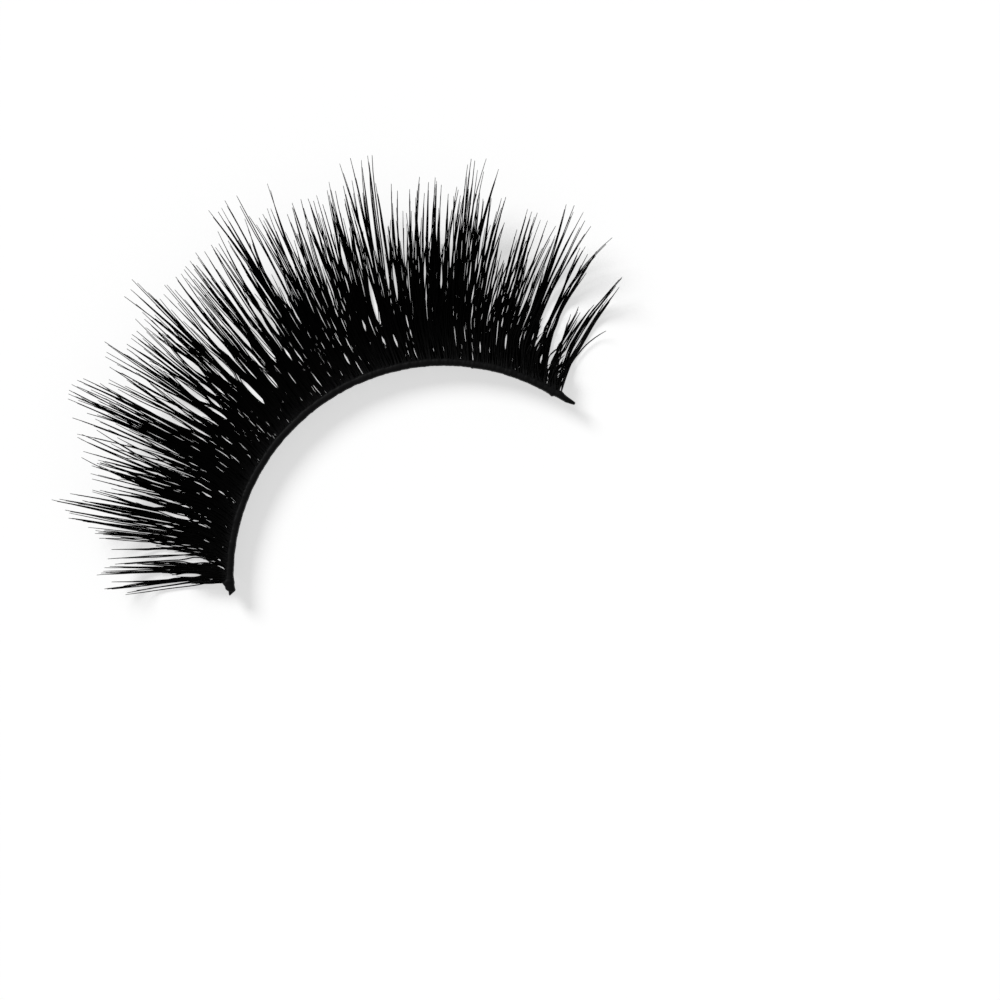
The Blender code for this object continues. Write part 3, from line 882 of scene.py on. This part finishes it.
def hairHeight(tree, size, along, radius):
    # From the side a hair goes down from the band to the belly and then curls up.
    reach = radius - stripArc["outerRadius"]
    length = attribute(tree, "tipRadius") - stripArc["outerRadius"]
    sink = (1.0 - reach / size["Belly Start"]).limit(0.0, 2.0)
    rise = (reach - size["Belly End"]).limit(0.0, 100.0)
    height = size["Belly Height"] + (size["Root Height"] - size["Belly Height"]) * sink * sink
    height = height + size["Curl"] * rise * rise / (length - size["Belly End"])
    height = height + attribute(tree, "level") * size["Bed Depth"]
    height = height + attribute(tree, "lift") * size["Lift Scatter"] * along ** hairShape["liftPower"]
    return calc(tree, "MAXIMUM", height, size["Hair Radius"] + hairShape["floorRoom"])


def buildLashTree():
    tree, start, size, end = newTree("combedLashes", longLashes)
    points = addNode(tree, "GeometryNodeMeshToPoints", {
        "Mesh": start.outputs["Geometry"],
    }).outputs["Points"]
    hairs = attribute(tree, "hairs", "INT")
    slits = slitMap(tree, points, hairs)
    curves = drawHairs(tree, points, hairs, size)

    along = alongSpline(tree) ** size["Root Detail"]
    tipRadius, rootRadius = attribute(tree, "tipRadius"), size["Root Radius"]
    radius = rootRadius + (tipRadius - rootRadius) * attribute(tree, "hairShare") * along
    station = hairStation(tree, size, radius) + waveAndTurn(tree, size, along, radius)
    curves = moveTo(tree, curves, station, radius, hairHeight(tree, size, along, radius))
    curves = bend(tree, partLashes(tree, curves, slits, size))

    glued = 1.0 - (radius - stripArc["outerRadius"]) / size["Glue Reach"]
    curves = store(tree, curves, "hairAlong", along)
    curves = store(tree, curves, "glued", glued.limit(0.0, 1.0))
    taper = 1.0 - along ** hairShape["taperPower"] * (1.0 - size["Tip Width"])
    girth = taper * attribute(tree, "girth") * size["Hair Radius"] * metresPerMm
    ring = addNode(tree, "GeometryNodeCurvePrimitiveCircle", {
        "Resolution": hairShape["sides"], "Radius": 1.0,
    })
    tubes = addNode(tree, "GeometryNodeCurveToMesh", {
        "Curve": curves, "Profile Curve": ring.outputs["Curve"], "Scale": girth, "Fill Caps": True,
    }).outputs["Mesh"]
    finishTree(tree, tubes, start, end)
    return tree


# Camera, floor and light, all from the photo's frame

photoView = {
    "frameWidth": 68.85,  # what the picture spans at the frame height above the floor
    "frameHeight": 1.45,
    "middleFromArc": (-5.914, -2.760),
    "turn": 151.0,
    "distance": 500.0,
    "clipStart": 2.0,
}


def makeCamera():
    data = bpy.data.cameras.new("photoCamera")
    data.sensor_fit = "HORIZONTAL"
    away = photoView["distance"] - photoView["frameHeight"]
    data.angle = 2 * math.atan(photoView["frameWidth"] / 2 / away)
    data.clip_start = photoView["clipStart"] * metresPerMm
    camera = bpy.data.objects.new("photoCamera", data)
    x, y = photoView["middleFromArc"]
    camera.location = Vector((arcCentre.x + x, arcCentre.y + y, photoView["distance"])) * metresPerMm
    camera.rotation_euler = (0, 0, math.radians(photoView["turn"]))
    bpy.context.collection.objects.link(camera)
    bpy.context.scene.camera = camera


studio = {
    "floorSide": 1.2,
    "floorColour": (0.9, 0.9, 0.9, 1),
    "floorRoughness": 0.9,
    "floorGlow": 0.60,
    "skyStrength": 0.14,
    "sunStrength": 1.57,
    "sunSoftness": 22.0,
    "shadowShift": (-0.66, 2.30),  # where the shadow of a point at the shadow height falls
    "shadowHeight": 1.9,
}


def makeFloor():
    half = studio["floorSide"] / 2
    mesh = bpy.data.meshes.new("paleFloor")
    corners = [(-half, -half, 0), (half, -half, 0), (half, half, 0), (-half, half, 0)]
    mesh.from_pydata(corners, [], [(0, 1, 2, 3)])
    material, _, shader = newMaterial("paleFloor")
    shader.inputs["Base Color"].default_value = studio["floorColour"]
    shader.inputs["Roughness"].default_value = studio["floorRoughness"]
    shader.inputs["Emission Color"].default_value = (1, 1, 1, 1)
    shader.inputs["Emission Strength"].default_value = studio["floorGlow"]
    mesh.materials.append(material)
    floor = bpy.data.objects.new("paleFloor", mesh)
    bpy.context.collection.objects.link(floor)


def makeLight():
    world = bpy.data.worlds.new("softSky")
    world.use_nodes = True
    sky = world.node_tree.nodes["Background"]
    sky.inputs["Color"].default_value = (1, 1, 1, 1)
    sky.inputs["Strength"].default_value = studio["skyStrength"]
    bpy.context.scene.world = world

    sun = bpy.data.lights.new("keyLight", "SUN")
    sun.energy = studio["sunStrength"]
    sun.angle = math.radians(studio["sunSoftness"])
    key = bpy.data.objects.new("keyLight", sun)
    beam = Vector((*studio["shadowShift"], -studio["shadowHeight"]))
    key.rotation_euler = beam.to_track_quat("-Z", "Y").to_euler()
    bpy.context.collection.objects.link(key)
    bpy.context.scene.view_settings.view_transform = "Standard"


def makeLashes():
    hairMaterial = makeHairMaterial()
    lashTree = buildLashTree()
    for name, node, rows, sizes in (
        ("longLashes", "long_lashes", lashTips + fillTips(), longLashes),
        ("shortLashes", "short_lashes", shortTips(), shortLashes),
    ):
        piece = applyTree(name, lashGuide(name + "Guide", rows), lashTree, sizes, hairMaterial)
        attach(piece, "root")
        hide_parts(node)


def makeBand():
    bandPiece = applyTree("threadBand", bandGuide(), buildBandTree(), bandSizes, makeBandMaterial())
    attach(bandPiece, "root")
    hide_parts("lash_band")


makeCamera()
makeFloor()
makeLight()
print("camera, floor and light are set")
makeLashes()
makeBand()
print("band and lashes are in place")
